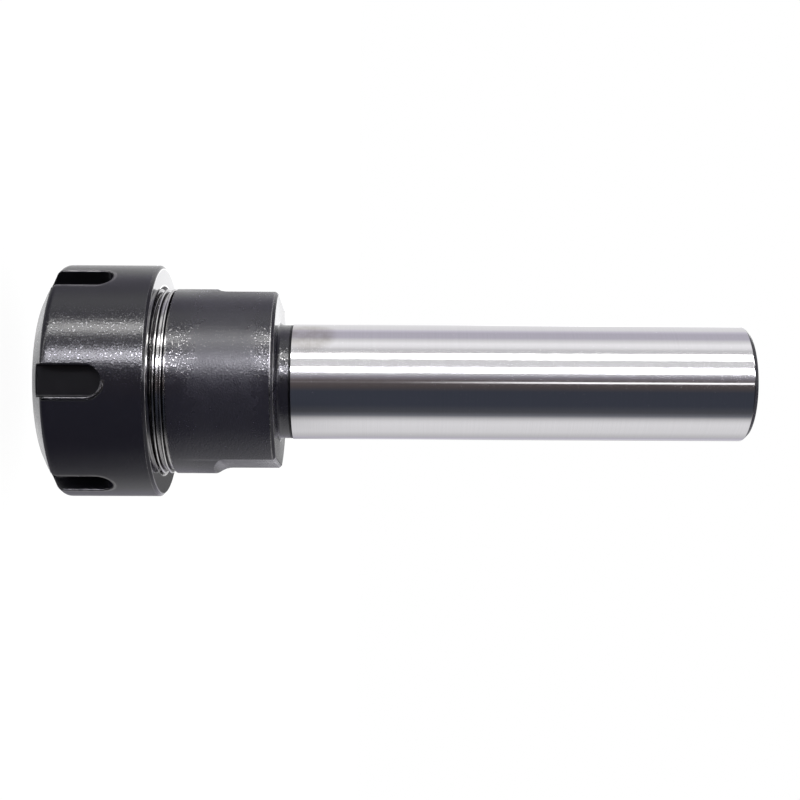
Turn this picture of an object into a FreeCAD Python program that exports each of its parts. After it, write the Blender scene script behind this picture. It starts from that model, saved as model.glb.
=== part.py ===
import FreeCAD, Part
import math
import os

# A straight-shank collet chuck: a turned body with a ground shank, a slotted
# clamping nut and the slit spring collet that the nut draws into its seat.
# The common axis is Z. The chuck stands on the nut's flat front face, which is
# at z = 0, with the shank pointing up. One nut slot faces -Y.
# Lengths are in millimetres and angles in degrees.

os.makedirs("parts", exist_ok=True)

# Thread between nose and nut, M40 x 1.5, drawn plain: the nose at its root
# and the nut at the bottom of its own groove
thread_radius = 20.0
thread_pitch = 1.5
thread_depth_ratio = 0.6134
thread_play = 0.1

# Clamping nut, outside
nut_wall = 4.9
nut_wall_length = 20.65
nut_cone_height = 3.2
nut_cone_run = 6.0
nut_front_chamfer = 1.0
nut_rear_chamfer = 0.65
slot_count = 6
slot_width = 6.4
slot_depth = 3.5
slot_reach = 12.0

# Clamping nut, inside
mouth_margin = 0.7
mouth_chamfer = 0.4
head_room = 0.25
lip_width = 1.8
lip_setback = 0.5
lip_hold = 1.3
lip_offset = 0.5
lip_slope = 0.1
thread_relief_depth = 0.4
thread_relief_length = 2.4
nut_entry_chamfer = 0.7

# Spring collet
collet_length = 40.0
collet_recess = 1.0
head_radius = 16.5
head_cone_length = 4.5
head_cone_angle = 30.0
head_land = 0.5
groove_width = 3.3
groove_depth = 2.1
taper_angle = 8.0
collet_rear_chamfer = 0.6
tool_radius = 6.0
tool_mouth_chamfer = 0.5
slit_count = 8
slit_width = 0.8
front_slit_bridge = 6.0
rear_slit_bridge = 3.0

# Chuck body: nose, collar with two spanner flats, neck and shank
seat_play = 0.05
nose_setback = 0.7
nose_chamfer = 0.6
nose_mouth_chamfer = 0.4
seat_overrun = 1.5
drill_point_angle = 59.0
bore_play = 0.75
open_thread = 3.0
collar_radius = 20.0
collar_length = 22.0
collar_front_chamfer = 0.3
collar_rear_chamfer = 0.5
flat_depth = 2.0
flat_length = 13.5
flat_corner_round = 2.6
flat_rear_chamfer = 0.5
flat_turn = 9.4
neck_length = 2.8
neck_undercut = 0.2
neck_root_chamfer = 0.9
shank_radius = 12.5
shank_reach = 101.3
shank_lead_chamfer = 0.4
shank_end_chamfer = 0.7
bore_end_chamfer = 0.8

# How far a milling cutter runs past the metal
cutter_overrun = 1.0

thread_root_radius = thread_radius - thread_depth_ratio * thread_pitch
nut_bore_radius = thread_radius + thread_play
nut_radius = nut_bore_radius + nut_wall
slope_of_taper = math.tan(math.radians(taper_angle))
slope_of_head = math.tan(math.radians(head_cone_angle))
head_face_radius = head_radius - head_cone_length * slope_of_head
axis = FreeCAD.Vector(0, 0, 1)
origin = FreeCAD.Vector(0, 0, 0)

# Heights along the axis, from the nut's face to the end of the shank
nut_length = nut_cone_height + nut_wall_length
head_cone_end = collet_recess + head_cone_length
groove_start = head_cone_end + head_land
groove_end = groove_start + groove_width
collet_end = collet_recess + collet_length
nose_start = groove_end + nose_setback
seat_end = collet_end + seat_overrun
collar_start = nut_length + open_thread
collar_end = collar_start + collar_length
neck_end = collar_end + neck_length
shank_end = collar_end + shank_reach


def point(radius, height):
    return FreeCAD.Vector(radius, 0, height)


# A closed half section from corners (radius, height, rounding). A corner
# whose rounding is above 0 becomes a tangent arc.
def section(corners):
    starts = []
    ends = []
    arcs = []
    count = len(corners)
    for i in range(count):
        radius, height, rounding = corners[i]
        here = point(radius, height)
        before = point(*corners[i - 1][:2])
        after = point(*corners[(i + 1) % count][:2])
        if rounding <= 0:
            starts.append(here)
            ends.append(here)
            arcs.append(None)
            continue
        back = (before - here).normalize()
        onward = (after - here).normalize()
        half = back.getAngle(onward) / 2
        reach = rounding / math.tan(half)
        inward = (back + onward).normalize()
        crown = here + inward * (rounding / math.sin(half) - rounding)
        starts.append(here + back * reach)
        ends.append(here + onward * reach)
        arcs.append(crown)
    edges = []
    for i in range(count):
        if arcs[i] is not None:
            edges.append(Part.Arc(starts[i], arcs[i], ends[i]).toShape())
        following = starts[(i + 1) % count]
        if ends[i].distanceToPoint(following) > 1e-6:
            edges.append(Part.LineSegment(ends[i], following).toShape())
    return Part.Face(Part.Wire(edges))


def turned(corners):
    return section(corners).revolve(origin, axis, 360)


# The collet's taper and front cone, each as a radius at a height
def taper_radius(height, play=0.0):
    normal_play = play / math.cos(math.radians(taper_angle))
    return head_radius - (height - groove_end) * slope_of_taper + normal_play


def cone_height_at(radius, play=0.0):
    normal_play = play / math.cos(math.radians(head_cone_angle))
    return collet_recess + (radius - normal_play - head_face_radius) / slope_of_head


# One end-milled slot of the nut, cut at -Y: open at the front, round at its
# inner end, with a flat floor
def nut_slot():
    floor = nut_radius - slot_depth
    half = slot_width / 2
    round_end = nut_cone_height + slot_reach
    centre_height = round_end - half
    left = FreeCAD.Vector(-half, -floor, -cutter_overrun)
    left_top = FreeCAD.Vector(-half, -floor, centre_height)
    crown = FreeCAD.Vector(0, -floor, round_end)
    right_top = FreeCAD.Vector(half, -floor, centre_height)
    right = FreeCAD.Vector(half, -floor, -cutter_overrun)
    edges = [
        Part.LineSegment(left, left_top).toShape(),
        Part.Arc(left_top, crown, right_top).toShape(),
        Part.LineSegment(right_top, right).toShape(),
        Part.LineSegment(right, left).toShape(),
    ]
    face = Part.Face(Part.Wire(edges))
    return face.extrude(FreeCAD.Vector(0, -slot_depth - cutter_overrun, 0))


def clamping_nut():
    slope_of_front = nut_cone_height / nut_cone_run
    mouth_radius = head_face_radius + mouth_margin
    cavity_radius = head_radius + head_room
    lip_radius = head_radius - lip_hold
    lip_start = groove_start + lip_setback
    lip_end = lip_start + lip_width
    relief_radius = nut_bore_radius + thread_relief_depth
    chamber_start = lip_end + (relief_radius - lip_radius) * lip_slope
    relief_end = chamber_start + thread_relief_length
    blank = turned([
        (mouth_radius, mouth_chamfer, 0),
        (mouth_radius + mouth_chamfer, 0, 0),
        (nut_radius - nut_cone_run, 0, 0),
        (nut_radius - nut_front_chamfer, nut_cone_height - nut_front_chamfer * slope_of_front, 0),
        (nut_radius, nut_cone_height + nut_front_chamfer, 0),
        (nut_radius, nut_length - nut_rear_chamfer, 0),
        (nut_radius - nut_rear_chamfer, nut_length, 0),
        (nut_bore_radius + nut_entry_chamfer, nut_length, 0),
        (nut_bore_radius, nut_length - nut_entry_chamfer, 0),
        (nut_bore_radius, relief_end + thread_relief_depth, 0),
        (relief_radius, relief_end, 0),
        (relief_radius, chamber_start, 0),
        (lip_radius, lip_end, 0),
        (lip_radius, lip_start, 0),
        (cavity_radius, lip_start - (cavity_radius - lip_radius) * lip_slope, 0),
        (cavity_radius, cone_height_at(cavity_radius, seat_play), 0),
        (mouth_radius, cone_height_at(mouth_radius, seat_play), 0),
    ])
    # The lip is bored off centre, so the collet snaps in when it is tilted
    off_centre = FreeCAD.Vector(lip_offset, 0, lip_start - head_room)
    lip_bore = Part.makeCylinder(
        lip_radius + lip_offset, lip_end - lip_start + 2 * head_room, off_centre)
    blank = blank.cut(lip_bore)
    slot = nut_slot()
    for i in range(slot_count):
        cutter = slot.copy()
        cutter.rotate(origin, axis, i * 360 / slot_count)
        blank = blank.cut(cutter)
    return blank


# A slit through one side of the collet's wall, between two heights
def slit(low, high, angle):
    reach = head_radius + cutter_overrun
    cutter = Part.makeBox(slit_width, reach, high - low,
                          FreeCAD.Vector(-slit_width / 2, -reach, low))
    cutter.rotate(origin, axis, angle)
    return cutter


def spring_collet():
    blank = turned([
        (tool_radius, collet_recess + tool_mouth_chamfer, 0),
        (tool_radius + tool_mouth_chamfer, collet_recess, 0),
        (head_face_radius, collet_recess, 0),
        (head_radius, head_cone_end, 0),
        (head_radius, groove_start, 0),
        (head_radius - groove_depth, groove_start, 0),
        (head_radius - groove_depth, groove_end, 0),
        (head_radius, groove_end, 0),
        (taper_radius(collet_end - collet_rear_chamfer),
         collet_end - collet_rear_chamfer, 0),
        (taper_radius(collet_end) - collet_rear_chamfer, collet_end, 0),
        (tool_radius + tool_mouth_chamfer, collet_end, 0),
        (tool_radius, collet_end - tool_mouth_chamfer, 0),
    ])
    # Slits from the front and from the rear take turns round the collet
    step = 360 / slit_count
    below = collet_recess - cutter_overrun
    above = collet_end + cutter_overrun
    for i in range(slit_count):
        from_front = slit(below, collet_end - front_slit_bridge, i * step)
        from_rear = slit(groove_end + rear_slit_bridge, above, (i + 0.5) * step)
        blank = blank.cut(from_front).cut(from_rear)
    return blank


# The milling cut of one spanner flat, whose normal points along +X before it
# is turned. The cutter runs out in a hollow round towards the thread, and the
# flat's rear edge is broken like the collar's.
def flat_cut():
    floor = collar_radius - flat_depth
    flat_start = collar_end - flat_length
    above = collar_end + cutter_overrun
    outside = collar_radius + cutter_overrun
    face = section([
        (floor - flat_rear_chamfer - cutter_overrun, above, 0),
        (floor, collar_end - flat_rear_chamfer, 0),
        (floor, flat_start, flat_corner_round),
        (outside, flat_start, 0),
        (outside, above, 0),
    ])
    face.translate(FreeCAD.Vector(0, -collar_radius, 0))
    return face.extrude(FreeCAD.Vector(0, 2 * collar_radius, 0))


def chuck_body():
    neck_radius = shank_radius - neck_undercut
    through_radius = tool_radius + bore_play
    seat_mouth = taper_radius(nose_start, seat_play)
    seat_floor = taper_radius(seat_end, seat_play)
    drill_run = (seat_floor - through_radius) / math.tan(math.radians(drill_point_angle))
    blank = turned([
        (seat_mouth - nose_mouth_chamfer * slope_of_taper,
         nose_start + nose_mouth_chamfer, 0),
        (seat_mouth + nose_mouth_chamfer, nose_start, 0),
        (thread_root_radius - nose_chamfer, nose_start, 0),
        (thread_root_radius, nose_start + nose_chamfer, 0),
        (thread_root_radius, collar_start, 0),
        (collar_radius - collar_front_chamfer, collar_start, 0),
        (collar_radius, collar_start + collar_front_chamfer, 0),
        (collar_radius, collar_end - collar_rear_chamfer, 0),
        (collar_radius - collar_rear_chamfer, collar_end, 0),
        (neck_radius + neck_root_chamfer, collar_end, 0),
        (neck_radius, collar_end + neck_root_chamfer, 0),
        (neck_radius, neck_end, 0),
        (shank_radius, neck_end + shank_lead_chamfer, 0),
        (shank_radius, shank_end - shank_end_chamfer, 0),
        (shank_radius - shank_end_chamfer, shank_end, 0),
        (through_radius + bore_end_chamfer, shank_end, 0),
        (through_radius, shank_end - bore_end_chamfer, 0),
        (through_radius, seat_end + drill_run, 0),
        (seat_floor, seat_end, 0),
    ])
    for side in (0, 180):
        cutter = flat_cut()
        cutter.rotate(origin, axis, side - flat_turn)
        blank = blank.cut(cutter)
    return blank


nodes = {
    "chuck_body": chuck_body(),
    "clamping_nut": clamping_nut(),
    "collet": spring_collet(),
}

for name, shape in nodes.items():
    solids = shape.Solids
    if len(solids) == 1:
        shape = solids[0]
    shape.exportStep("parts/" + name + ".step")
    box = shape.BoundBox
    print(name, "solids", len(solids), "valid", shape.isValid(),
          "volume", round(shape.Volume), "z", round(box.ZMin, 3), round(box.ZMax, 3))
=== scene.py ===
import math
import bpy
import bmesh
from mathutils import Matrix, Vector


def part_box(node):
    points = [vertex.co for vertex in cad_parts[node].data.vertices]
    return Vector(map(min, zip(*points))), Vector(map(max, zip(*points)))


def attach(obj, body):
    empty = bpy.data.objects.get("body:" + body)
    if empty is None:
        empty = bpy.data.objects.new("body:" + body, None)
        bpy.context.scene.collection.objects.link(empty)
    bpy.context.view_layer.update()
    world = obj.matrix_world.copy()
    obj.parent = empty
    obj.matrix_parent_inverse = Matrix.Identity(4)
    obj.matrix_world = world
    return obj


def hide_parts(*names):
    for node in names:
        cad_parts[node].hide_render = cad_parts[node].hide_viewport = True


# A collet chuck holder that stands on its nut: turned body, slotted nut and
# slit collet. The dictionaries are in millimetres and degrees, meshes in metres.
mm = 0.001
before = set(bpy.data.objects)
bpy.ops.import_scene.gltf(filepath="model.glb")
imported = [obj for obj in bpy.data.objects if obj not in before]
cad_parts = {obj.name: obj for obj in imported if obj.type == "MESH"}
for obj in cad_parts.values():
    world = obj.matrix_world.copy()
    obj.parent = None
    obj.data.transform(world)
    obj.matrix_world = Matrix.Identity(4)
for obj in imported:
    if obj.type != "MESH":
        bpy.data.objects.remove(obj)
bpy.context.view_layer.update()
bodyLow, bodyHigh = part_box("chuck_body")
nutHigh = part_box("clamping_nut")[1]
colletLow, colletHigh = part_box("collet")

# Sizes that more than one piece shares, the outer ones read from the frame
chuck = {
    "noseStart": bodyLow.z / mm,
    "end": bodyHigh.z / mm,
    "collarRadius": bodyHigh.y / mm,
    "threadRadius": 20.0,
    "threadRoot": 19.08,
    "pitch": 1.5,
    "nutEnd": nutHigh.z / mm,
    "collarStart": nutHigh.z / mm + 3.0,
    "collarLength": 22.0,
    "headRadius": 16.5,
    "headFace": 13.902,
    "headAngle": 30.0,
    "headEnd": 6.0,          # front edge of the collet's groove
    "grooveEnd": 9.3,
    "taperAngle": 8.0,
    "seatPlay": 0.05,
    "segments": 264,         # facets round a turned piece
}
chuck["collarEnd"] = chuck["collarStart"] + chuck["collarLength"]


# Node helpers: a node or socket given as a value is linked, anything else is typed in

def feed(tree, socket, value):
    if isinstance(value, bpy.types.Node):
        value = value.outputs[0]
    if isinstance(value, bpy.types.NodeSocket):
        tree.links.new(value, socket)
    else:
        socket.default_value = value


def addNode(tree, kind, inputs=None, **settings):
    node = tree.nodes.new(kind)
    for name, value in settings.items():
        setattr(node, name, value)
    for name, value in (inputs or {}).items():
        feed(tree, node.inputs[name], value)
    return node


def calc(tree, operation, *values):
    inputs = {i: value for i, value in enumerate(values)}
    return addNode(tree, "ShaderNodeMath", inputs, operation=operation)


def product(tree, *values):
    result = values[0]
    for value in values[1:]:
        result = calc(tree, "MULTIPLY", result, value)
    return result


def offFrom(tree, value, centre):
    return calc(tree, "ABSOLUTE", calc(tree, "SUBTRACT", value, centre))


def diagonal(tree, first, second):
    return calc(tree, "SQRT", calc(tree, "MULTIPLY_ADD", first, first, product(tree, second, second)))


def remap(tree, value, fromMin, fromMax, toMin=0.0, toMax=1.0, smooth=False):
    inputs = {"Value": value, "From Min": fromMin, "From Max": fromMax, "To Min": toMin, "To Max": toMax}
    style = "SMOOTHSTEP" if smooth else "LINEAR"
    return addNode(tree, "ShaderNodeMapRange", inputs, interpolation_type=style)


def between(tree, share, first, second):
    return remap(tree, share, 0.0, 1.0, first, second)


def windowAt(tree, value, centre, width, edge):
    # 1 within a width round the centre, 0 outside it
    return remap(tree, offFrom(tree, value, centre), (width + edge) / 2, (width - edge) / 2, smooth=True)


def scaled(tree, vector, factor):
    return addNode(tree, "ShaderNodeVectorMath", {0: vector, "Scale": factor}, operation="SCALE")


def summed(tree, first, second):
    return addNode(tree, "ShaderNodeVectorMath", {0: first, 1: second}, operation="ADD")


def noiseAt(tree, position, scale, detail, roughness=0.5):
    inputs = {"Vector": position, "Scale": scale, "Detail": detail, "Roughness": roughness}
    return addNode(tree, "ShaderNodeTexNoise", inputs)


def blendColour(tree, factor, first, second):
    node = addNode(tree, "ShaderNodeMix", data_type="RGBA")
    for name, value in (("Factor_Float", factor), ("A_Color", first), ("B_Color", second)):
        feed(tree, next(s for s in node.inputs if s.identifier == name), value)
    return next(s for s in node.outputs if s.identifier == "Result_Color")


def splitUp(tree, vector):
    return addNode(tree, "ShaderNodeSeparateXYZ", {0: vector}).outputs


def aroundAxis(tree, position):
    # azimuth from -Y towards -X in degrees, and height
    parts = splitUp(tree, position)
    left = product(tree, parts["X"], -1.0)
    front = product(tree, parts["Y"], -1.0)
    return calc(tree, "DEGREES", calc(tree, "ARCTAN2", left, front)), parts["Z"]


def newGroup(kind, name, inputs, outputs):
    tree = bpy.data.node_groups.new(name, kind)
    sockets = {}
    for side, labels in (("INPUT", inputs), ("OUTPUT", outputs)):
        for label, sort, *preset in labels:
            socket = tree.interface.new_socket(name=label, in_out=side, socket_type="NodeSocket" + sort)
            if preset:
                socket.default_value = preset[0]
            sockets[label] = socket
    entry = tree.nodes.new("NodeGroupInput")
    leave = tree.nodes.new("NodeGroupOutput")
    return tree, entry.outputs, leave.inputs, sockets


def placed(tree, group, position, inputs):
    return addNode(tree, "ShaderNodeGroup", {"Position": position, **inputs}, node_tree=group).outputs


def emptyTree(owner):
    owner.use_nodes = True
    owner.node_tree.nodes.clear()
    return owner.node_tree


def addObject(name, data):
    made = bpy.data.objects.new(name, data)
    bpy.context.scene.collection.objects.link(made)
    return made


# Camera square at the chuck's side, rolled so that the shank points right

view = {"lens": 58.5, "distance": 283.66, "height": 71.22, "yaw": -0.749, "pitch": 0.781, "roll": 0.290,
        "nearest": 10.0, "farthest": 10000.0}


def makeCamera():
    camera = addObject("sideCamera", bpy.data.cameras.new("sideCamera"))
    camera.data.lens = view["lens"]
    camera.data.clip_start = view["nearest"] * mm
    camera.data.clip_end = view["farthest"] * mm
    lying = Matrix(((0, -1, 0), (0, 0, -1), (1, 0, 0))).to_4x4()
    aim = lying @ Matrix.Rotation(math.radians(view["yaw"]), 4, "Y")
    aim = aim @ Matrix.Rotation(math.radians(-view["pitch"]), 4, "X")
    aim = aim @ Matrix.Rotation(math.radians(view["roll"]), 4, "Z")
    place = Matrix.Translation((0, -view["distance"] * mm, view["height"] * mm))
    camera.matrix_world = place @ aim
    bpy.context.scene.camera = camera


makeCamera()
bpy.context.scene.view_settings.view_transform = "Standard"

# Studio: a ring of light round the axis for reflections, plain white for the rest.
# Azimuth runs from the camera's side, 0, towards -X. A rise is the height of a
# direction, from -1 straight down to 1 straight up, and is given as from and to.
studio = {
    "gain": 1.4,
    "ring": [
        (-180, 1.00, "plain"), (-170, 1.00, "plain"), (-156, 0.75, "violet"), (-148, 0.61, "violet"),
        (-132, 0.74, "plain"), (-116, 0.96, "plain"), (-92, 1.04, "plain"), (-84, 0.98, "plain"),
        (-76, 0.68, "plain"), (-69, 0.21, "cool"), (-61, 0.10, "cool"), (-46, 0.066, "blue"),
        (-18, 0.064, "blue"), (-9, 0.09, "warm"), (-3, 0.115, "warm"), (4, 0.15, "warm"),
        (12, 0.40, "violet"), (18, 0.90, "plain"), (36, 0.97, "plain"), (60, 0.86, "plain"),
        (68, 0.84, "plain"), (75, 1.20, "plain"), (83, 1.28, "plain"), (92, 0.96, "plain"),
        (100, 0.69, "violet"), (116, 0.67, "violet"), (124, 0.83, "violet"), (132, 1.02, "plain"),
        (156, 1.00, "plain"), (180, 1.00, "plain"),
    ],
    "tints": {
        "plain": (1.0, 1.0, 1.01), "violet": (0.97, 0.94, 1.06), "cool": (0.95, 0.99, 1.12),
        "blue": (0.86, 0.96, 1.28), "warm": (1.10, 0.96, 0.98),
    },
    "tubes": [               # centre, width low and high, soft edge, level, tint
        (53.0, 9.0, 11.5, 3.0, 10.8, (1.0, 1.0, 0.98)),
        (24.6, 7.6, 10.0, 2.0, 18.5, (0.98, 0.97, 1.05)),
    ],
    "tubeRise": (-0.05, 0.2),
    "slit": {"centre": 0.2, "width": 2.6, "edge": 1.4, "level": 2.2, "rise": (0.0, 0.17), "least": 0.03,
             "end": (0.42, 0.34)},
    # what the front end sees is dimmer, above all from below, where the panel ends
    "frontDim": 0.24, "frontRise": (-0.10, -0.20),
    "panel": {"centre": -76.0, "width": 64.0, "edge": 60.0, "dim": 0.84, "rise": (0.0, -0.22)},
    # light from behind, past the shank's end and past the nut's face. The upper
    # part brightens on the -X side and dims on the +X side; pairs are +X, -X
    "behind": {"azimuth": (160.0, 172.0), "up": (-0.78, 1.08), "upFrom": (0.015, 0.04), "upTo": (0.10, 0.14),
               "low": 0.9, "lowRise": (-0.32, -0.56), "deep": -0.85, "deepRise": (-0.56, -0.67)},
    "underside": {"centre": -160.0, "width": 18.0, "edge": 8.0, "dim": 0.42, "rise": (-0.02, -0.08)},
    "overhead": 0.35, "overheadRise": (0.35, 0.65), "underneath": 0.4, "underneathRise": (-0.35, -0.65),
}


def makeWorld():
    world = bpy.data.worlds.new("studio")
    bpy.context.scene.world = world
    world.cycles.sampling_method = "NONE"
    tree = emptyTree(world)
    azimuth, rise = aroundAxis(tree, addNode(tree, "ShaderNodeTexCoord").outputs["Generated"])
    ramp = addNode(tree, "ShaderNodeValToRGB", {"Fac": calc(tree, "MULTIPLY_ADD", azimuth, 1 / 360, 0.5)})
    elements = ramp.color_ramp.elements
    while len(elements) > 1:
        elements.remove(elements[-1])
    for i, (angle, level, tint) in enumerate(studio["ring"]):
        place = angle / 360 + 0.5
        element = elements[0] if i == 0 else elements.new(place)
        element.position = place
        element.color = [level / studio["gain"] * t for t in studio["tints"][tint]] + [1.0]
    light = scaled(tree, ramp.outputs["Color"], studio["gain"])
    for centre, low, high, edge, level, tint in studio["tubes"]:
        half = remap(tree, rise, *studio["tubeRise"], low / 2, high / 2)
        past = calc(tree, "SUBTRACT", offFrom(tree, azimuth, centre), half)
        shape = remap(tree, past, edge / 2, -edge / 2, smooth=True)
        light = summed(tree, light, scaled(tree, tint, product(tree, shape, level)))
    slit = studio["slit"]
    line = windowAt(tree, azimuth, slit["centre"], slit["width"], slit["edge"])
    line = product(tree, line, remap(tree, rise, *slit["rise"], slit["least"], 1.0, smooth=True),
                   remap(tree, rise, *slit["end"]), slit["level"])
    light = summed(tree, light, line)
    panel = studio["panel"]
    dim = windowAt(tree, azimuth, panel["centre"], panel["width"], panel["edge"])
    dim = product(tree, dim, remap(tree, rise, *panel["rise"], 0.0, panel["dim"], smooth=True))
    front = remap(tree, rise, *studio["frontRise"], 1.0, 1.0 - studio["frontDim"])
    behind = studio["behind"]
    side = calc(tree, "GREATER_THAN", azimuth, 0.0)
    up = remap(tree, rise, between(tree, side, *behind["upFrom"]), between(tree, side, *behind["upTo"]),
               smooth=True)
    gain = product(tree, up, between(tree, side, *behind["up"]))
    low = remap(tree, rise, *behind["lowRise"], smooth=True)
    gain = calc(tree, "MULTIPLY_ADD", low, behind["low"], gain)
    gain = calc(tree, "MULTIPLY_ADD", remap(tree, rise, *behind["deepRise"]), behind["deep"], gain)
    atBack = remap(tree, calc(tree, "ABSOLUTE", azimuth), *behind["azimuth"], smooth=True)
    gain = calc(tree, "MULTIPLY_ADD", gain, atBack, 1.0)
    underside = studio["underside"]
    dark = windowAt(tree, azimuth, underside["centre"], underside["width"], underside["edge"])
    dark = product(tree, dark, remap(tree, rise, *underside["rise"]))
    overhead = remap(tree, rise, *studio["overheadRise"], 1.0, studio["overhead"], smooth=True)
    under = remap(tree, rise, *studio["underneathRise"], 1.0, studio["underneath"], smooth=True)
    level = product(tree, calc(tree, "SUBTRACT", 1.0, dim), front, gain,
                    between(tree, dark, 1.0, 1.0 - underside["dim"]), overhead,
                    calc(tree, "MAXIMUM", under, atBack))
    reflected = addNode(tree, "ShaderNodeBackground", {"Color": scaled(tree, light, level)})
    white = addNode(tree, "ShaderNodeBackground", {"Color": (1, 1, 1, 1)})
    path = addNode(tree, "ShaderNodeLightPath").outputs
    glossy = calc(tree, "MAXIMUM", path["Is Glossy Ray"], path["Is Transmission Ray"])
    mix = addNode(tree, "ShaderNodeMixShader", {0: glossy, 1: white, 2: reflected})
    addNode(tree, "ShaderNodeOutputWorld", {"Surface": mix})


makeWorld()
floorLook = {"reach": 4000.0, "glow": 0.93, "paper": 0.10,
             "drop": 12.2}   # room for the nut's travel


def makeFloor():
    reach = floorLook["reach"] * mm
    mesh = bpy.data.meshes.new("floor")
    mesh.from_pydata([(-reach, -reach, 0), (reach, -reach, 0), (reach, reach, 0), (-reach, reach, 0)],
                     [], [(0, 1, 2, 3)])
    floor = addObject("floor", mesh)
    floor.location.z = -floorLook["drop"] * mm
    floor.visible_glossy = False
    material = bpy.data.materials.new("whitePaper")
    tree = emptyTree(material)
    paper = (floorLook["paper"],) * 3 + (1,)
    matte = addNode(tree, "ShaderNodeBsdfDiffuse", {"Color": paper})
    glow = addNode(tree, "ShaderNodeEmission", {"Strength": floorLook["glow"]})
    both = addNode(tree, "ShaderNodeAddShader", {0: matte, 1: glow})
    # seen from below the floor is clear, so that the nut's face and the collet show
    clear = addNode(tree, "ShaderNodeBsdfTransparent")
    below = addNode(tree, "ShaderNodeNewGeometry").outputs["Backfacing"]
    mix = addNode(tree, "ShaderNodeMixShader", {0: below, 1: both, 2: clear})
    addNode(tree, "ShaderNodeOutputMaterial", {"Surface": mix})
    mesh.materials.append(material)


makeFloor()
print("camera, studio and floor made")


# Shader groups that several finishes share

def makeTurningMarks():
    # fine rings round the axis, as a lathe or a grinding wheel leaves them
    tree, take, give, _ = newGroup(
        "ShaderNodeTree", "turningMarks",
        [("Position", "Vector"), ("Rings Per Metre", "Float", 2500.0), ("Drift", "Float", 8.0)],
        [("Height", "Float")])
    parts = splitUp(tree, take["Position"])
    stretched = addNode(tree, "ShaderNodeCombineXYZ", {
        "X": product(tree, parts["X"], take["Drift"]), "Y": product(tree, parts["Y"], take["Drift"]),
        "Z": product(tree, parts["Z"], take["Rings Per Metre"])})
    feed(tree, give["Height"], noiseAt(tree, stretched, scale=1.0, detail=3.0, roughness=0.6))
    return tree


def makeGrainMottle():
    # fine crystal grain and slow patches, for a phosphate-like black or a hazy steel
    tree, take, give, _ = newGroup(
        "ShaderNodeTree", "grainMottle",
        [("Position", "Vector"), ("Grain Scale", "Float", 3500.0), ("Patch Scale", "Float", 400.0)],
        [("Grain", "Float"), ("Patch", "Float")])
    for name, detail in (("Grain", 2.0), ("Patch", 3.0)):
        noise = noiseAt(tree, take["Position"], take[name + " Scale"], detail, roughness=0.55)
        feed(tree, give[name], noise)
    return tree


edgeShape = {"samples": 6, "turn": (0.995, 0.93), "breakUp": (0.35, 0.6, 0.35, 1.0)}


def makeEdgeWear():
    # bare metal where an edge has been rubbed, broken up by noise
    tree, take, give, _ = newGroup(
        "ShaderNodeTree", "edgeWear",
        [("Position", "Vector"), ("Width", "Float", 0.0002),
         ("Amount", "Float", 0.6), ("Break Up", "Float", 900.0)],
        [("Mask", "Float")])
    rounded = addNode(tree, "ShaderNodeBevel", {"Radius": take["Width"]}, samples=edgeShape["samples"])
    real = addNode(tree, "ShaderNodeNewGeometry").outputs["Normal"]
    closeness = addNode(tree, "ShaderNodeVectorMath", {0: rounded, 1: real}, operation="DOT_PRODUCT")
    turn = remap(tree, closeness.outputs["Value"], *edgeShape["turn"])
    noise = noiseAt(tree, take["Position"], take["Break Up"], detail=2.0)
    broken = remap(tree, noise, *edgeShape["breakUp"])
    feed(tree, give["Mask"], product(tree, turn, broken, take["Amount"]))
    return tree


turningMarks = makeTurningMarks()
grainMottle = makeGrainMottle()
edgeWear = makeEdgeWear()


def newMaterial(name):
    material = bpy.data.materials.new(name)
    tree = emptyTree(material)
    position = addNode(tree, "ShaderNodeTexCoord").outputs["Object"]
    principled = addNode(tree, "ShaderNodeBsdfPrincipled")
    addNode(tree, "ShaderNodeOutputMaterial", {"Surface": principled})
    return material, tree, position, principled


def setLook(tree, principled, values):
    for name, value in values.items():
        feed(tree, principled.inputs[name], value)


def bumped(tree, lift):
    return addNode(tree, "ShaderNodeBump", {"Height": lift, "Strength": 1.0, "Distance": 1.0})


def mottled(tree, position, look):
    scales = {"Grain Scale": look["grainScale"], "Patch Scale": look["patchScale"]}
    return placed(tree, grainMottle, position, scales)


def ringed(tree, position, look):
    return placed(tree, turningMarks, position, {"Rings Per Metre": look["ringsPerMetre"]})["Height"]


def axisRadius(tree, position):
    parts = splitUp(tree, position)
    flat = addNode(tree, "ShaderNodeCombineXYZ", {"X": parts["X"], "Y": parts["Y"]})
    return addNode(tree, "ShaderNodeVectorMath", {0: flat}, operation="LENGTH").outputs["Value"]


def spot(tree, azimuth, height, centre, reach, core):
    # 1 in the core of an oval on the surface, 0 past its edge
    across = calc(tree, "DIVIDE", calc(tree, "SUBTRACT", azimuth, centre[0]), reach[0])
    along = calc(tree, "DIVIDE", calc(tree, "SUBTRACT", height, centre[1] * mm), reach[1] * mm)
    square = calc(tree, "MULTIPLY_ADD", across, across, product(tree, along, along))
    return remap(tree, square, 1.0, core, smooth=True)


# Finishes. Where four numbers go with a noise, the first two are its levels and
# the last two what it gives at them.

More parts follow.
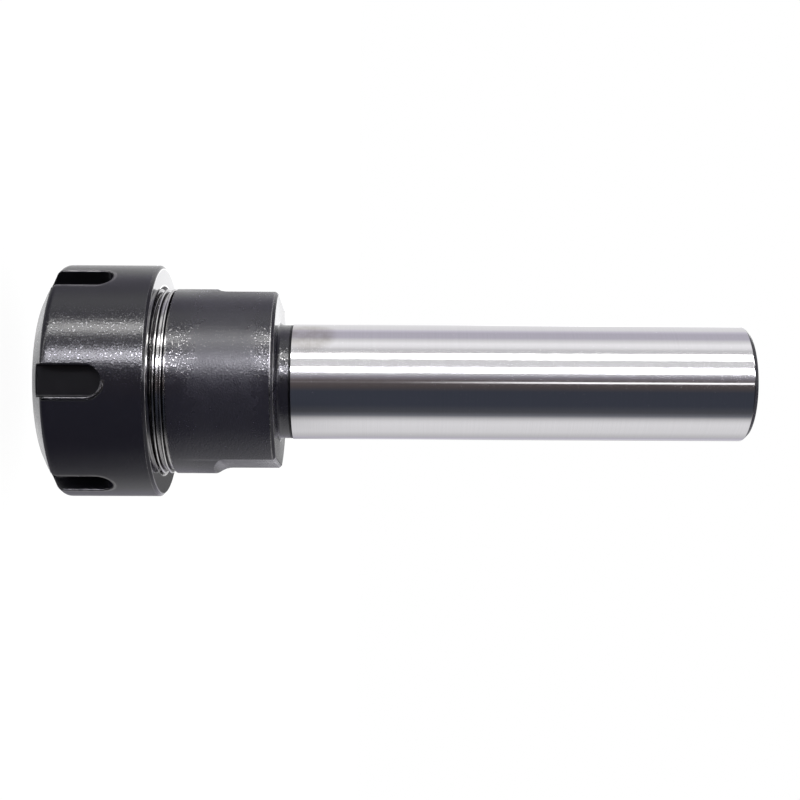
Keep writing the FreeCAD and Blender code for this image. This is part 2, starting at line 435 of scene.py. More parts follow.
patchRange = (0.3, 0.7)
blackLook = {
    "bare": (0.56, 0.55, 0.55, 1), "thin": (0.045, 0.044, 0.05, 1), "metalAt": 0.15, "ior": 1.54,
    "grainScale": 2600.0, "patchScale": 420.0, "ringsPerMetre": 3000.0, "ringHeight": 0.0000015,
    "wearWidth": 0.00025, "wearAmount": 0.8, "wearHaze": 0.25,
    "rubbedPatches": (0.3, 0.5, 0.6, 1.0), "rubbedCore": 0.6,
    "endFace": (0.9, 0.98), "faceRoughness": 0.045, "faceGrain": 0.15,
    "middleFade": (0.36, 0.98),  # shares of the half length, as those of the specks' end
    "speckScale": 2600.0, "speckLevels": (0.58, 0.72), "speckShine": 0.05, "speckEnd": (1.2, 1.6),
    "handledSide": 19.0,         # azimuth where the black is speckled bare
    "handledFade": (12.0, 22.0), "unhandled": 0.06,
    # the band that the spanner rubs beside the slots
    "band": 0.3, "bandFrom": 0.5, "bandWidth": 0.4, "bandCore": 0.5,
    "bandInside": (1.0, 0.5), "bandPatches": (0.3, 0.5, 0.5, 1.0),
}
nutLook = {"colour": (0.0092, 0.0087, 0.0135, 1), "roughness": 0.16, "haze": 0.03, "grain": 0.00003,
           "middle": 12.0, "half": 12.0, "middleHaze": 0.0, "speck": 0.22, "speckMiddle": 0.8}
headLook = {"colour": (0.0145, 0.0136, 0.0205, 1), "roughness": 0.175, "haze": 0.04, "grain": 0.00005,
            "middle": 38.8, "half": 11.0, "middleHaze": 0.135, "speck": 0.48, "speckMiddle": 0.25}
rubbedLook = {"colour": (0.17, 0.166, 0.17, 1), "roughness": 0.3, "grainScale": 2600.0, "patchScale": 900.0,
              "patches": (0.38, 0.6, 0.1, 1.0),
              "keptSide": 15.0, "keptWidth": 30.0, "keptFade": 2.0}     # the slot edge that kept its black


def wornColour(tree, wear, black):
    # a half-worn spot is a darker metal, with no pale diffuse part
    thin = blendColour(tree, wear, blackLook["thin"], blackLook["bare"])
    metal = remap(tree, wear, 0.0, blackLook["metalAt"])
    return blendColour(tree, metal, black, thin), metal


def slotBand(tree, radius, azimuth, height):
    # a rubbed band on the outside, beside the slots' edges
    slot = nutSizes["slotWidth"] / 2
    straight = nutSizes["coneHeight"] + nutSizes["slotReach"] - slot
    fold = calc(tree, "PINGPONG", azimuth, 180 / nutSizes["slotCount"])
    across = product(tree, calc(tree, "RADIANS", fold), radius)
    past = calc(tree, "MAXIMUM", calc(tree, "SUBTRACT", height, straight * mm), 0.0)
    off = offFrom(tree, diagonal(tree, across, past), (slot + blackLook["bandFrom"]) * mm)
    width = blackLook["bandWidth"] * mm
    band = remap(tree, off, width, width * blackLook["bandCore"], 0.0, blackLook["band"])
    outside = remap(tree, radius, *((nutHigh.x / mm - inside) * mm for inside in blackLook["bandInside"]))
    kept = windowAt(tree, azimuth, rubbedLook["keptSide"], rubbedLook["keptWidth"], rubbedLook["keptFade"])
    return product(tree, band, outside, calc(tree, "SUBTRACT", 1.0, kept))


def makeBlackOxide(name, look, rubbed, slotted=False):
    # rubbed rings are (radius, height, reach, amount)
    material, tree, position, principled = newMaterial(name)
    radius = axisRadius(tree, position)
    azimuth, height = aroundAxis(tree, position)
    mottle = mottled(tree, position, blackLook)
    wear = placed(tree, edgeWear, position, {"Width": blackLook["wearWidth"],
                                             "Amount": blackLook["wearAmount"]})["Mask"]
    for ringRadius, ringHeight, reach, amount in rubbed:
        out = calc(tree, "SUBTRACT", radius, ringRadius * mm)
        along = calc(tree, "SUBTRACT", height, ringHeight * mm)
        core = reach * blackLook["rubbedCore"] * mm
        ring = remap(tree, diagonal(tree, out, along), reach * mm, core, 0.0, amount)
        ring = product(tree, ring, remap(tree, mottle["Patch"], *blackLook["rubbedPatches"]))
        wear = calc(tree, "MAXIMUM", wear, ring)
    if slotted:
        band = slotBand(tree, radius, azimuth, height)
        band = product(tree, band, remap(tree, mottle["Patch"], *blackLook["bandPatches"]))
        wear = calc(tree, "MAXIMUM", wear, band)
    normal = addNode(tree, "ShaderNodeNewGeometry").outputs["Normal"]
    endFace = remap(tree, calc(tree, "ABSOLUTE", splitUp(tree, normal)["Z"]), *blackLook["endFace"])
    # towards the middle of the collar the black is hazier, and both have fewer bare specks
    fromMiddle = offFrom(tree, height, look["middle"] * mm)
    fade = [look["half"] * share * mm for share in blackLook["middleFade"] + blackLook["speckEnd"]]
    outer = remap(tree, fromMiddle, *fade[:2], smooth=True)
    speck = remap(tree, noiseAt(tree, position, blackLook["speckScale"], detail=1.0),
                  *blackLook["speckLevels"], 0.0, look["speck"])
    handled = offFrom(tree, azimuth, blackLook["handledSide"])
    speck = product(tree, speck, between(tree, outer, look["speckMiddle"], 1.0),
                    remap(tree, handled, *blackLook["handledFade"], 1.0, blackLook["unhandled"], smooth=True),
                    between(tree, endFace, 1.0, 0.0), remap(tree, fromMiddle, *fade[2:], 1.0, 0.0))
    haze = remap(tree, mottle["Patch"], *patchRange, look["roughness"] - look["haze"],
                 look["roughness"] + look["haze"])
    haze = calc(tree, "ADD", haze, remap(tree, outer, 1.0, 0.0, 0.0, look["middleHaze"]))
    haze = calc(tree, "MULTIPLY_ADD", wear, blackLook["wearHaze"], haze)
    haze = calc(tree, "MULTIPLY_ADD", speck, -blackLook["speckShine"], haze)
    colour, metal = wornColour(tree, calc(tree, "MAXIMUM", wear, speck), look["colour"])
    lift = product(tree, mottle["Grain"], look["grain"], between(tree, endFace, 1.0, blackLook["faceGrain"]))
    lift = calc(tree, "MULTIPLY_ADD", ringed(tree, position, blackLook), blackLook["ringHeight"], lift)
    setLook(tree, principled, {
        "Base Color": colour, "Metallic": metal, "IOR": blackLook["ior"], "Normal": bumped(tree, lift),
        "Roughness": between(tree, endFace, haze, blackLook["faceRoughness"])})
    return material


def makeRubbedEdge(name):
    # slot edges that the spanner has rubbed, broken up by patches of black
    material, tree, position, principled = newMaterial(name)
    bare = remap(tree, mottled(tree, position, rubbedLook)["Patch"], *rubbedLook["patches"])
    setLook(tree, principled, {
        "Base Color": blendColour(tree, bare, blackLook["thin"], rubbedLook["colour"]),
        "Metallic": 1.0, "Roughness": rubbedLook["roughness"]})
    return material


paintedShadeLook = {"colour": (0.0026, 0.0025, 0.0036), "tone": (0.95, 1.12), "roughness": (0.30, 0.34), "ior": 1.3,
            "grain": 0.00001, "grainScale": 2600.0, "patchScale": 500.0}


def makePaintedShadeBlack(name):
    # painted shade: the slots, and the neck just before the shank, get a darker and duller black than the
    # rest, standing in for the shade in them
    material, tree, position, principled = newMaterial(name)
    mottle = mottled(tree, position, paintedShadeLook)
    tone = remap(tree, mottle["Patch"], *patchRange, *paintedShadeLook["tone"])
    setLook(tree, principled, {
        "Base Color": scaled(tree, paintedShadeLook["colour"], tone), "IOR": paintedShadeLook["ior"],
        "Roughness": remap(tree, mottle["Patch"], *patchRange, *paintedShadeLook["roughness"]),
        "Normal": bumped(tree, product(tree, mottle["Grain"], paintedShadeLook["grain"]))})
    return material


steelLook = {"colour": (0.63, 0.62, 0.635, 1), "stain": (0.42, 0.40, 0.38, 1), "roughness": (0.060, 0.095),
             "stainOval": ((53.0, 55.4), (26.0, 6.6), 0.3),     # azimuth and height, reach, core
             "stainDepth": (0.45, 0.85),
             "ringTone": (0.2, 0.8, 0.94, 1.04), "ringsPerMetre": 5000.0, "ringHeight": 0.0000012,
             "patchHeight": 0.000002, "grainScale": 2600.0, "patchScale": 500.0}


def makeGroundSteel(name):
    material, tree, position, principled = newMaterial(name)
    azimuth, height = aroundAxis(tree, position)
    patch = mottled(tree, position, steelLook)["Patch"]
    rings = ringed(tree, position, steelLook)
    stain = spot(tree, azimuth, height, *steelLook["stainOval"])
    stain = product(tree, stain, remap(tree, patch, *patchRange, *steelLook["stainDepth"]))
    colour = blendColour(tree, stain, steelLook["colour"], steelLook["stain"])
    lift = product(tree, rings, steelLook["ringHeight"])
    lift = calc(tree, "MULTIPLY_ADD", patch, steelLook["patchHeight"], lift)
    setLook(tree, principled, {
        "Base Color": scaled(tree, colour, remap(tree, rings, *steelLook["ringTone"])), "Metallic": 1.0,
        "Roughness": remap(tree, patch, *patchRange, *steelLook["roughness"]), "Normal": bumped(tree, lift)})
    return material


threadLook = {"roughness": 0.14, "flank": 0.10, "crest": (19.72, 19.9), "root": (19.35, 19.2),
              "grain": 0.000004, "grainScale": 3000.0, "patchScale": 500.0,
              "patches": (0.3, 0.55, 0.7, 1.0)}


def makeWornThread(name):
    # black flanks between bright crests and roots, where the nut has rubbed
    material, tree, position, principled = newMaterial(name)
    radius = axisRadius(tree, position)
    mottle = mottled(tree, position, threadLook)
    crest, root = (remap(tree, radius, *(at * mm for at in threadLook[part])) for part in ("crest", "root"))
    rub = calc(tree, "MAXIMUM", calc(tree, "MAXIMUM", crest, root), threadLook["flank"])
    rub = product(tree, rub, remap(tree, mottle["Patch"], *threadLook["patches"]))
    setLook(tree, principled, {
        "Base Color": blendColour(tree, rub, blackLook["thin"], blackLook["bare"]), "Metallic": 1.0,
        "Roughness": threadLook["roughness"],
        "Normal": bumped(tree, product(tree, mottle["Grain"], threadLook["grain"]))})
    return material


# the painted shade black for the slots and for the neck's end before the shank
paintedShadeBlack = makePaintedShadeBlack("paintedShadeBlack")
rubbedEdge = makeRubbedEdge("rubbedEdge")
groundSteel = makeGroundSteel("groundSteel")
springSteel = makeGroundSteel("springSteel")
wornThread = makeWornThread("wornThread")
print("finishes made")


# Turned blanks: a closed half section swept round the axis

def roundedSection(corners, steps=4):
    # corners are (radius, height, rounding); a rounding above 0 becomes an arc
    outline = []
    count = len(corners)
    for i, (radius, height, rounding) in enumerate(corners):
        here = Vector((radius, height))
        if rounding <= 0:
            outline.append(here)
            continue
        back = (Vector(corners[i - 1][:2]) - here).normalized()
        onward = (Vector(corners[(i + 1) % count][:2]) - here).normalized()
        half = back.angle(onward) / 2
        centre = here + (back + onward).normalized() * (rounding / math.sin(half))
        first = here + back * (rounding / math.tan(half)) - centre
        last = here + onward * (rounding / math.tan(half)) - centre
        sweep = math.pi - 2 * half
        ends = {0: first, steps: last}
        for k in range(steps + 1):
            share = k / steps
            swing = first * math.sin((1 - share) * sweep) + last * math.sin(share * sweep)
            outline.append(centre + ends.get(k, swing / math.sin(sweep)))
    return outline


def placeMesh(name, work):
    # the finished shape becomes an object in the scene, its faces pointing outwards
    bmesh.ops.recalc_face_normals(work, faces=work.faces)
    mesh = bpy.data.meshes.new(name)
    work.to_mesh(mesh)
    work.free()
    return addObject(name, mesh)


def turnBlank(name, corners, segments):
    outline = roundedSection(corners)
    work = bmesh.new()
    rings = []
    for i in range(segments):
        angle = 2 * math.pi * i / segments
        across = Vector((math.cos(angle), math.sin(angle)))
        rings.append([work.verts.new((across.x * p.x * mm, across.y * p.x * mm, p.y * mm)) for p in outline])
    count = len(outline)
    for i in range(segments):
        here = rings[i]
        there = rings[(i + 1) % segments]
        for j in range(count):
            k = (j + 1) % count
            work.faces.new((here[j], there[j], there[k], here[k]))
    return placeMesh(name, work)


upright = Matrix.Rotation(math.pi / 2, 4, "X")


def makeCutter(name, outline, low, high, turn):
    # a prism: the outline in the XY plane, raised from low to high, then turned into place
    work = bmesh.new()
    bottom = [work.verts.new((x * mm, y * mm, low * mm)) for x, y in outline]
    top = [work.verts.new((x * mm, y * mm, high * mm)) for x, y in outline]
    work.faces.new(bottom)
    work.faces.new(top)
    count = len(outline)
    for i in range(count):
        j = (i + 1) % count
        work.faces.new((bottom[i], bottom[j], top[j], top[i]))
    work.transform(turn)
    return placeMesh(name, work)


def finishShape(tree, shape, material, give):
    whole = addNode(tree, "GeometryNodeRealizeInstances", {"Geometry": shape})
    finish = addNode(tree, "GeometryNodeSetMaterial", {"Geometry": whole, "Material": material})
    feed(tree, give, finish)


def makeRingCut():
    # copies of one cutter, evenly round the axis, taken out of the blank
    tree, take, give, sockets = newGroup(
        "GeometryNodeTree", "ringCut",
        [("Blank", "Geometry"), ("Cutter", "Object"), ("Count", "Int", 6), ("First Angle", "Float", 0.0),
         ("Finish", "Material")],
        [("Cut Blank", "Geometry")])
    cutter = addNode(tree, "GeometryNodeObjectInfo", {"Object": take["Cutter"]}, transform_space="ORIGINAL")
    points = addNode(tree, "GeometryNodePoints", {"Count": take["Count"]})
    index = addNode(tree, "GeometryNodeInputIndex")
    share = calc(tree, "DIVIDE", index, take["Count"])
    angle = calc(tree, "MULTIPLY_ADD", share, 2 * math.pi, take["First Angle"])
    turn = addNode(tree, "ShaderNodeCombineXYZ", {"Z": angle})
    copies = addNode(tree, "GeometryNodeInstanceOnPoints", {
        "Points": points, "Instance": cutter.outputs["Geometry"], "Rotation": turn})
    solid = addNode(tree, "GeometryNodeRealizeInstances", {"Geometry": copies})
    cut = addNode(tree, "GeometryNodeMeshBoolean", {"Mesh 1": take["Blank"], "Mesh 2": solid},
                  operation="DIFFERENCE", solver="EXACT")
    finishShape(tree, cut, take["Finish"], give["Cut Blank"])
    return tree, sockets


ringCut, ringCutSockets = makeRingCut()


def settle(piece):
    # the evaluated mesh becomes the piece's own, and the modifiers go
    graph = bpy.context.evaluated_depsgraph_get()
    settled = bpy.data.meshes.new_from_object(piece.evaluated_get(graph), preserve_all_data_layers=True,
                                              depsgraph=graph)
    piece.modifiers.clear()
    old = piece.data
    piece.data = settled
    bpy.data.meshes.remove(old)


def addTree(piece, tree, sockets, values):
    modifier = piece.modifiers.new(tree.name, "NODES")
    modifier.node_group = tree
    for label, value in values.items():
        modifier[sockets[label].identifier] = value
    settle(piece)


def cutRound(piece, cutter, count, firstAngle, finish):
    addTree(piece, ringCut, ringCutSockets, {
        "Cutter": cutter, "Count": count, "First Angle": math.radians(firstAngle), "Finish": finish})
    bpy.data.objects.remove(cutter)


def cleanMesh(piece, reach, swept=False):
    # corners that lie on each other are merged. Then faces without area are taken
    # out, or the faces of a swept shape turned outwards
    work = bmesh.new()
    work.from_mesh(piece.data)
    bmesh.ops.remove_doubles(work, verts=work.verts, dist=reach * mm)
    if swept:
        bmesh.ops.recalc_face_normals(work, faces=work.faces)
    else:
        bmesh.ops.dissolve_degenerate(work, edges=work.edges, dist=reach * mm)
    work.to_mesh(piece.data)
    work.free()


edgeFinish = {"sharpest": 34.0, "steps": 2, "cutReach": 0.002, "roundReach": 0.0002}


def finishEdges(piece, width):
    # milled edges get a small round; turned ones already have theirs in the section
    cleanMesh(piece, edgeFinish["cutReach"])
    bevel = piece.modifiers.new("edges", "BEVEL")
    bevel.width = width * mm
    bevel.segments = edgeFinish["steps"]
    bevel.limit_method = "ANGLE"
    bevel.angle_limit = math.radians(edgeFinish["sharpest"])
    bevel.use_clamp_overlap = False
    bevel.miter_outer = "MITER_ARC"
    settle(piece)
    cleanMesh(piece, edgeFinish["roundReach"])
    piece.data.shade_smooth()
    even = piece.modifiers.new("normals", "WEIGHTED_NORMAL")
    even.keep_sharp = True
    settle(piece)


def giveMaterials(piece, *materials):
    piece.data.materials.clear()
    for material in materials:
        piece.data.materials.append(material)


def taperRadius(height, play=0.0):
    # the collet's long taper, and the seat a little outside it
    slope = math.tan(math.radians(chuck["taperAngle"]))
    return chuck["headRadius"] - (height - chuck["grooveEnd"]) * slope + play


def headHeight(radius, play=0.0):
    return colletLow.z / mm + (radius - play - chuck["headFace"]) / math.tan(math.radians(chuck["headAngle"]))


# Helical threads, swept by Geometry Nodes

def makeThreadTree():
    tree, take, give, sockets = newGroup(
        "GeometryNodeTree", "threadHelix",
        [("Geometry", "Geometry"), ("Radius", "Float", 0.019), ("Start", "Float", 0.0),
         ("Pitch", "Float", 0.0015), ("Turns", "Float", 4.0), ("Base Width", "Float", 0.0012),
         ("Crest Width", "Float", 0.0002), ("Depth", "Float", 0.0009), ("Crest Round", "Float", 0.00005),
         ("Outward", "Float", 1.0), ("Run Out", "Float", 0.5), ("Steps Per Turn", "Int", 240),
         ("Finish", "Material")],
        [("Thread", "Geometry")])
    height = product(tree, take["Pitch"], take["Turns"])
    spiral = addNode(tree, "GeometryNodeCurveSpiral", {
        "Resolution": take["Steps Per Turn"], "Rotations": take["Turns"], "Start Radius": take["Radius"],
        "End Radius": take["Radius"], "Height": height})
    lift = addNode(tree, "ShaderNodeCombineXYZ", {"Z": take["Start"]})
    raised = addNode(tree, "GeometryNodeTransform", {"Geometry": spiral, "Translation": lift})
    path = addNode(tree, "GeometryNodeSetCurveNormal", {"Curve": raised}, mode="Z_UP")
    form = addNode(tree, "GeometryNodeCurvePrimitiveQuadrilateral", {
        "Height": take["Depth"], "Bottom Width": take["Base Width"], "Top Width": take["Crest Width"],
        "Offset": 0.0}, mode="TRAPEZOID")
    soft = addNode(tree, "GeometryNodeFilletCurve", {
        "Curve": form, "Radius": take["Crest Round"], "Limit Radius": True, "Count": 2}, mode="POLY")
    lean = addNode(tree, "ShaderNodeCombineXYZ", {"Z": product(tree, take["Outward"], math.pi / 2)})
    halfDepth = product(tree, take["Depth"], -0.5)
    shift = addNode(tree, "ShaderNodeCombineXYZ", {"X": product(tree, take["Outward"], halfDepth)})
    section = addNode(tree, "GeometryNodeTransform", {
        "Geometry": soft, "Rotation": lean, "Translation": shift})
    # the thread runs out at both ends
    along = addNode(tree, "GeometryNodeSplineParameter").outputs["Factor"]
    turnsIn = product(tree, along, take["Turns"])
    turnsLeft = calc(tree, "SUBTRACT", take["Turns"], turnsIn)
    nearest = calc(tree, "MINIMUM", turnsIn, turnsLeft)
    fade = remap(tree, calc(tree, "DIVIDE", nearest, take["Run Out"]), 0.0, 1.0, 0.05, 1.0, smooth=True)
    swept = addNode(tree, "GeometryNodeCurveToMesh", {
        "Curve": path, "Profile Curve": section, "Fill Caps": True})
    if "Scale" in swept.inputs:
        feed(tree, swept.inputs["Scale"], fade)
    finishShape(tree, swept, take["Finish"], give["Thread"])
    return tree, sockets


threadHelix, threadSockets = makeThreadTree()
threadForm = {"steps": 240, "reach": 0.001}      # sections in a turn, corners merged within


def makeThread(name, sizes, finish, body):
    piece = addObject(name, bpy.data.meshes.new(name))
    addTree(piece, threadHelix, threadSockets, {
        "Radius": sizes["baseRadius"] * mm, "Start": sizes["start"] * mm, "Pitch": chuck["pitch"] * mm,
        "Turns": (sizes["end"] - sizes["start"]) / chuck["pitch"], "Base Width": sizes["baseWidth"] * mm,
        "Crest Width": sizes["crestWidth"] * mm, "Depth": sizes["depth"] * mm,
        "Crest Round": sizes["crestRound"] * mm, "Outward": sizes["outward"], "Run Out": sizes["runOut"],
        "Steps Per Turn": threadForm["steps"], "Finish": finish})
    cleanMesh(piece, threadForm["reach"], swept=True)
    piece.data.shade_smooth()
    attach(piece, body)
    return piece


# Chuck body: threaded nose, collar with two flats, neck, ground shank

bodySizes = {
    "noseChamfer": 0.6, "mouthChamfer": 0.4, "seatEnd": 42.5, "throughRadius": 6.75, "drillPoint": 59.0,
    "collarFrontChamfer": 0.14, "collarRearChamfer": 0.65, "neckRadius": 12.3, "neckLength": 2.8,
    "neckRoot": 0.9, "shankRadius": 12.5, "endChamfer": 0.95, "boreChamfer": 0.8,
    "flatDepth": 2.0, "flatLength": 13.5, "flatRound": 2.6, "flatRearChamfer": 0.5, "flatTurn": 9.4,
    # paintedShadowBand: the length of neck before the shank that is coloured black as a painted shadow
    "paintedShadowBand": 0.35, "edge": 0.2, "flatSteps": 12,
    "cutterLead": 1.0, "cutterRoom": 2.0,    # how far the cutter goes past the collar
    # how near to its surface a face counts as shank or thread
    "shankSlack": 0.05, "threadSlack": 0.02, "rootSlack": 1.0,
}
chamfer = bodySizes["collarRearChamfer"]
blackBody = makeBlackOxide("blackOxideBody", headLook, [
    (chuck["collarRadius"] - chamfer, chuck["collarEnd"], 0.22, 0.5),
    (chuck["collarRadius"], chuck["collarEnd"] - chamfer, 0.2, 0.3)])


def makeTurnedBody():
    size = bodySizes
    neck = size["neckRadius"]
    shank = size["shankRadius"]
    through = size["throughRadius"]
    nose = chuck["noseStart"]
    root = chuck["threadRoot"]
    collar = chuck["collarRadius"]
    front = chuck["collarStart"]
    rear = chuck["collarEnd"]
    neckEnd = rear + size["neckLength"]
    end = chuck["end"]
    seatFloor = taperRadius(size["seatEnd"], chuck["seatPlay"])
    drillRun = (seatFloor - through) / math.tan(math.radians(size["drillPoint"]))
    mouth = taperRadius(nose, chuck["seatPlay"])
    piece = turnBlank("turnedBody", [
        (taperRadius(nose + size["mouthChamfer"], chuck["seatPlay"]), nose + size["mouthChamfer"], 0.1),
        (mouth + size["mouthChamfer"], nose, 0.08),
        (root - size["noseChamfer"], nose, 0.08),
        (root, nose + size["noseChamfer"], 0.1),
        (root, front, 0.2),
        (collar - size["collarFrontChamfer"], front, 0.05),
        (collar, front + size["collarFrontChamfer"], 0.05),
        (collar, rear - size["collarRearChamfer"], 0.25),
        (collar - size["collarRearChamfer"], rear, 0.2),
        (neck, rear, size["neckRoot"]),
        # this ring starts the painted shadow band on the neck
        (neck, neckEnd - size["paintedShadowBand"], 0),
        (neck, neckEnd, 0.05),
        (shank, neckEnd + shank - neck, 0.06),
        (shank, end - size["endChamfer"], 0.5),
        (shank - size["endChamfer"], end, 0.25),
        (through + size["boreChamfer"], end, 0.1),
        (through, end - size["boreChamfer"], 0.1),
        (through, size["seatEnd"] + drillRun, 0.2),
        (seatFloor, size["seatEnd"], 0.1),
    ], chuck["segments"])
    # The cutter for one spanner flat, at +X before it is turned, with a small hollow round
    floor = collar - size["flatDepth"]
    wall = rear - size["flatLength"]
    beyond = collar + size["cutterRoom"]
    lead = size["cutterLead"]
    hollow = size["flatRound"]
    outline = [(beyond, rear + lead), (beyond, wall)]
    for k in range(size["flatSteps"] + 1):
        swing = math.radians(90 * k / size["flatSteps"])
        outline.append((floor + hollow - hollow * math.sin(swing), wall + hollow - hollow * math.cos(swing)))
    outline.append((floor, rear - size["flatRearChamfer"]))
    outline.append((floor - size["flatRearChamfer"] - lead, rear + lead))
    cutter = makeCutter("flatCutter", outline, -collar, collar, upright)
    cutRound(piece, cutter, 2, -size["flatTurn"], blackBody)
    finishEdges(piece, size["edge"])
    giveMaterials(piece, blackBody, groundSteel, wornThread, paintedShadeBlack)
    shankFrom = (neckEnd + (shank - neck) / 2) * mm
    shankTo = (end - size["endChamfer"] / 2) * mm
    for face in piece.data.polygons:
        radius = math.hypot(face.center.x, face.center.y)
        outside = (shank - size["shankSlack"]) * mm
        onShank = shankFrom < face.center.z < shankTo and radius > outside
        inward = face.normal.x * face.center.x + face.normal.y * face.center.y < -0.5 * radius
        onSeat = inward and face.center.z < size["seatEnd"] * mm
        onNose = face.center.z < (front - size["threadSlack"]) * mm
        onThread = not inward and onNose and radius > (root - size["rootSlack"]) * mm
        # the neck's last faces before the shank take the painted shade black, a painted shadow line
        inPaintedShadow = not inward and (neckEnd - size["paintedShadowBand"]) * mm < face.center.z < shankFrom
        face.material_index = 1 if onShank or onSeat else 2 if onThread else 3 if inPaintedShadow else 0
    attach(piece, "chuck")
    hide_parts("chuck_body")
    return piece


turnedBody = makeTurnedBody()
noseThreadSizes = {
    "start": chuck["noseStart"] + 0.58, "end": chuck["collarStart"] + 0.4, "baseRadius": 19.0, "depth": 1.0,
    "baseWidth": 1.2, "crestWidth": 0.34, "crestRound": 0.12, "outward": 1.0, "runOut": 0.6,
}
noseThread = makeThread("noseThread", noseThreadSizes, wornThread, "chuck")
print("chuck body turned:", len(turnedBody.data.polygons), "faces, thread", len(noseThread.data.polygons))

# Clamping nut: six milled slots, inner thread, inner cone and eccentric lip

nutSizes = {
    "coneHeight": 3.2, "faceRadius": 19.0, "frontRound": 2.0, "rearChamfer": 0.65, "slotCount": 6,
    "slotWidth": 6.4, "slotDepth": 3.5, "slotReach": 11.8, "mouthMargin": 0.7, "mouthChamfer": 0.4,
    "headRoom": 0.25, "lipStart": 0.5, "lipWidth": 1.8, "lipHold": 1.3, "lipOffset": 0.5, "lipSlope": 0.1,
    "reliefDepth": 0.4, "reliefLength": 2.4, "entryChamfer": 0.45, "threadPlay": 0.1, "edge": 0.3,
    "slotSteps": 25,         # odd, so that no corner of the cutter meets an edge of the blank
    "cutterLead": 1.0, "cutterRoom": 2.0,    # how far the cutter goes past the nut
    "lipAhead": 0.05, "lipAcross": 0.2,      # what counts as the lip, past its edges
    # what counts as a slot's inside, which gets the painted shade black, and as its rubbed edge
    "floorSlack": 0.2, "endSlack": 0.05, "slotFacing": -0.6,
    "edgeFacing": (0.25, 0.96), "edgeAcross": 1.3, "edgeAhead": 1.0, "pastCone": 2.0, "sideways": 0.2,
}
blackNut = makeBlackOxide("blackOxideNut", nutLook, [
    (nutHigh.x / mm - nutSizes["rearChamfer"], chuck["nutEnd"], 0.22, 0.75),
    (chuck["threadRadius"] + 0.5, chuck["nutEnd"], 0.4, 0.85)], slotted=True)


def makeSlottedNut():
    size = nutSizes
    radius = nutHigh.x / mm
    end = chuck["nutEnd"]
    bore = chuck["threadRadius"] + size["threadPlay"]
    mouth = chuck["headFace"] + size["mouthMargin"]
    cavity = chuck["headRadius"] + size["headRoom"]
    lip = chuck["headRadius"] - size["lipHold"]
    lipStart = chuck["headEnd"] + size["lipStart"]
    lipEnd = lipStart + size["lipWidth"]
    relief = bore + size["reliefDepth"]
    chamber = lipEnd + (relief - lip) * size["lipSlope"]
    reliefEnd = chamber + size["reliefLength"]
    size["threadStart"] = reliefEnd + size["reliefDepth"]
    piece = turnBlank("slottedNut", [
        (mouth, size["mouthChamfer"], 0.08),
        (mouth + size["mouthChamfer"], 0, 0.08),
        (size["faceRadius"], 0, 0.15),
        (radius, size["coneHeight"], size["frontRound"]),
        (radius, end - size["rearChamfer"], 0.15),
        (radius - size["rearChamfer"], end, 0.15),
        (bore + size["entryChamfer"], end, 0.15),
        (bore, end - size["entryChamfer"], 0.1),
        (bore, reliefEnd + size["reliefDepth"], 0),
        (relief, reliefEnd, 0),
        (relief, chamber, 0.1),
        (lip, lipEnd, 0.1),
        (lip, lipStart, 0.1),
        (cavity, lipStart - (cavity - lip) * size["lipSlope"], 0.1),
        (cavity, headHeight(cavity, chuck["seatPlay"]), 0),
        (mouth, headHeight(mouth, chuck["seatPlay"]), 0.08),
    ], chuck["segments"])
    # The lip is bored off centre, so that the collet snaps in when it is tilted
    offset = size["lipOffset"]
    for corner in piece.data.vertices:
        out = math.hypot(corner.co.x, corner.co.y) / mm
        atLip = lipStart - size["lipAhead"] < corner.co.z / mm < lipEnd + size["lipAhead"]
        if atLip and out < lip + size["lipAcross"]:
            across = corner.co.y / mm / out
            bored = offset * corner.co.x / mm / out + math.sqrt((lip + offset) ** 2 - (offset * across) ** 2)
            corner.co.x *= 1 + (bored - lip) / out
            corner.co.y *= 1 + (bored - lip) / out
    # One slot at -Y, open at the front and round at its inner end
    half = size["slotWidth"] / 2
    roundEnd = size["coneHeight"] + size["slotReach"]
    outline = [(-half, -size["cutterLead"]), (half, -size["cutterLead"])]
    for k in range(size["slotSteps"] + 1):
        swing = math.radians(180 * k / size["slotSteps"])
        outline.append((half * math.cos(swing), roundEnd - half + half * math.sin(swing)))
    slotFloor = radius - size["slotDepth"]
    cutter = makeCutter("slotCutter", outline, slotFloor, radius + size["cutterRoom"], upright)
    cutRound(piece, cutter, size["slotCount"], 0, blackNut)
    finishEdges(piece, size["edge"])
    giveMaterials(piece, blackNut, paintedShadeBlack, rubbedEdge)
    leastFacing, mostFacing = size["edgeFacing"]
    for face in piece.data.polygons:
        out = math.hypot(face.center.x, face.center.y) / mm
        height = face.center.z / mm
        inSlot = slotFloor - size["floorSlack"] < out < radius - size["edge"]
        inSlot = inSlot and height < roundEnd - size["endSlack"] and face.normal.z > size["slotFacing"]
        azimuth = math.degrees(math.atan2(-face.center.x, -face.center.y))
        keptBlack = abs(azimuth - rubbedLook["keptSide"]) < rubbedLook["keptWidth"] / 2
        facing = (face.normal.x * face.center.x + face.normal.y * face.center.y) / (out * mm)
        onEdge = leastFacing < facing < mostFacing and out > radius - size["edge"] * size["edgeAcross"]
        onEdge = onEdge and height < roundEnd + size["edgeAhead"] and not keptBlack
        onSide = height > size["coneHeight"] + size["pastCone"] or abs(face.normal.z) < size["sideways"]
        # faces inside a slot get the painted shade black
        face.material_index = 2 if onEdge and onSide else 1 if inSlot else 0
    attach(piece, "nut")
    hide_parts("clamping_nut")
    return piece


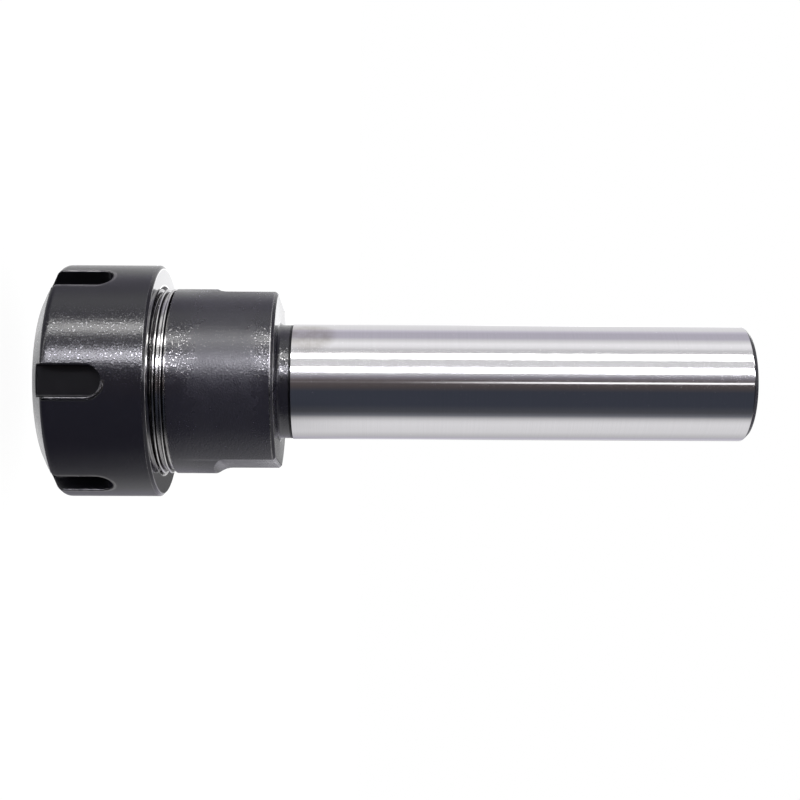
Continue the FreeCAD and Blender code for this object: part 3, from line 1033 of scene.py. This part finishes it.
slottedNut = makeSlottedNut()
halfPitch = chuck["pitch"] / 2
wholeTurns = math.ceil((nutSizes["threadStart"] - noseThreadSizes["start"] - halfPitch) / chuck["pitch"])
nutThreadSizes = {
    "start": noseThreadSizes["start"] + halfPitch + wholeTurns * chuck["pitch"], "end": chuck["nutEnd"] - 0.5,
    "baseRadius": 20.16, "depth": 0.97, "baseWidth": 1.44, "crestWidth": 0.32, "crestRound": 0.05,
    "outward": -1.0, "runOut": 0.4,
}
nutThread = makeThread("nutThread", nutThreadSizes, blackNut, "nut")
print("nut milled:", len(slottedNut.data.polygons), "faces, thread", len(nutThread.data.polygons))

# Spring collet: front cone, snap groove, long taper, slits from both ends

colletSizes = {
    "land": 0.5, "grooveDepth": 2.1, "rearChamfer": 0.6, "toolRadius": 6.0, "mouthChamfer": 0.5,
    "slitCount": 8, "slitWidth": 0.8, "frontBridge": 6.0, "rearBridge": 3.0, "edge": 0.06, "segments": 192,
    "cutterLead": 1.0,
}


def makeSlitCollet():
    size = colletSizes
    low = colletLow.z / mm
    end = colletHigh.z / mm
    head = chuck["headRadius"]
    groove = head - size["grooveDepth"]
    tail = end - size["rearChamfer"]
    mouth = size["toolRadius"] + size["mouthChamfer"]
    piece = turnBlank("slitCollet", [
        (size["toolRadius"], low + size["mouthChamfer"], 0.1),
        (mouth, low, 0.1),
        (chuck["headFace"], low, 0.15),
        (head, chuck["headEnd"] - size["land"], 0.1),
        (head, chuck["headEnd"], 0.12),
        (groove, chuck["headEnd"], 0.3),
        (groove, chuck["grooveEnd"], 0.3),
        (head, chuck["grooveEnd"], 0.12),
        (taperRadius(tail), tail, 0.1),
        (taperRadius(end) - size["rearChamfer"], end, 0.1),
        (mouth, end, 0.1),
        (size["toolRadius"], end - size["mouthChamfer"], 0.1),
    ], size["segments"])
    step = 360 / size["slitCount"]
    wide = size["slitWidth"] / 2
    lead = size["cutterLead"]
    outline = [(-wide, -head - lead), (wide, -head - lead), (wide, 0), (-wide, 0)]
    for name, bottom, top, first in (
            ("frontSlit", low - lead, end - size["frontBridge"], 0.0),
            ("rearSlit", chuck["grooveEnd"] + size["rearBridge"], end + lead, step / 2)):
        cutter = makeCutter(name, outline, bottom, top, Matrix.Identity(4))
        cutRound(piece, cutter, size["slitCount"], first, springSteel)
    finishEdges(piece, size["edge"])
    giveMaterials(piece, springSteel)
    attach(piece, "collet")
    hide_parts("collet")
    return piece


slitCollet = makeSlitCollet()
print("collet slit:", len(slitCollet.data.polygons), "faces")
